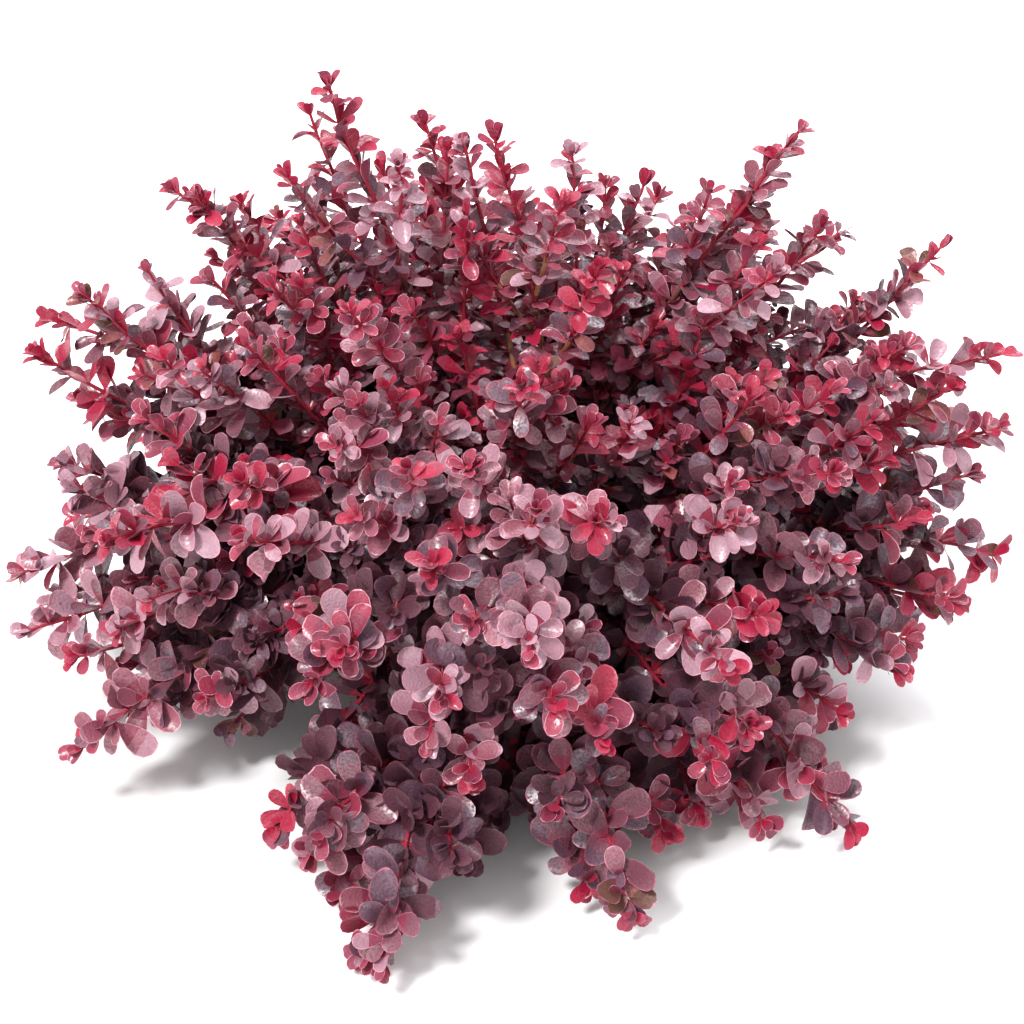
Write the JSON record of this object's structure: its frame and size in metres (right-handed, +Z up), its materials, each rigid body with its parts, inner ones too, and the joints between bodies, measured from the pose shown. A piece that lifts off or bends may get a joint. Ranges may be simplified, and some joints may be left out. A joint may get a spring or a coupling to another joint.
{
  "type": "japanese barberry shrub",
  "caption": "Low mounded garden shrub rooted in the ground: arching thorny shoots from a short woody stool, clothed in small spoon-shaped dusky red leaves.",
  "frame": {"origin": "middle of the flat cut under the stool, at ground level", "axes": "+Z up, +Y to the back of the shrub as pictured, +X to the viewer's right"},
  "size_m": [0.6602, 0.6476, 0.4105],
  "materials": {
    "barberry_bark": "rough furrowed bark",
    "barberry_cane": "dull reddish bark",
    "barberry_leaf": "satin leaf with a pale bloom"
  },
  "bodies": {
    "root": {"stool": "barberry_bark", "bough_skirt_01": "barberry_cane", "bough_skirt_02": "barberry_cane", "bough_skirt_03": "barberry_cane", "bough_skirt_04": "barberry_cane", "bough_skirt_05": "barberry_cane", "bough_skirt_06": "barberry_cane", "bough_skirt_07": "barberry_cane", "bough_skirt_08": "barberry_cane", "bough_skirt_09": "barberry_cane", "bough_skirt_10": "barberry_cane", "bough_skirt_11": "barberry_cane", "bough_flank_01": "barberry_cane", "bough_flank_02": "barberry_cane", "bough_flank_03": "barberry_cane", "bough_flank_04": "barberry_cane", "bough_flank_05": "barberry_cane", "bough_flank_06": "barberry_cane", "bough_flank_07": "barberry_cane", "bough_flank_08": "barberry_cane", "bough_flank_09": "barberry_cane", "bough_flank_10": "barberry_cane", "bough_shoulder_01": "barberry_cane", "bough_shoulder_02": "barberry_cane", "bough_shoulder_03": "barberry_cane", "bough_shoulder_04": "barberry_cane", "bough_shoulder_05": "barberry_cane", "bough_shoulder_06": "barberry_cane", "bough_crest_01": "barberry_cane", "bough_crest_02": "barberry_cane", "spray_skirt_01": "barberry_leaf", "spray_skirt_02": "barberry_leaf", "spray_skirt_03": "barberry_leaf", "spray_skirt_04": "barberry_leaf", "spray_skirt_05": "barberry_leaf", "spray_skirt_06": "barberry_leaf", "spray_skirt_07": "barberry_leaf", "spray_skirt_08": "barberry_leaf", "spray_skirt_09": "barberry_leaf", "spray_skirt_10": "barberry_leaf", "spray_skirt_11": "barberry_leaf", "spray_flank_01": "barberry_leaf", "spray_flank_02": "barberry_leaf", "spray_flank_03": "barberry_leaf", "spray_flank_04": "barberry_leaf", "spray_flank_05": "barberry_leaf", "spray_flank_06": "barberry_leaf", "spray_flank_07": "barberry_leaf", "spray_flank_08": "barberry_leaf", "spray_flank_09": "barberry_leaf", "spray_flank_10": "barberry_leaf", "spray_shoulder_01": "barberry_leaf", "spray_shoulder_02": "barberry_leaf", "spray_shoulder_03": "barberry_leaf", "spray_shoulder_04": "barberry_leaf", "spray_shoulder_05": "barberry_leaf", "spray_shoulder_06": "barberry_leaf", "spray_crest_01": "barberry_leaf", "spray_crest_02": "barberry_leaf"}
  },
  "joints": []
}
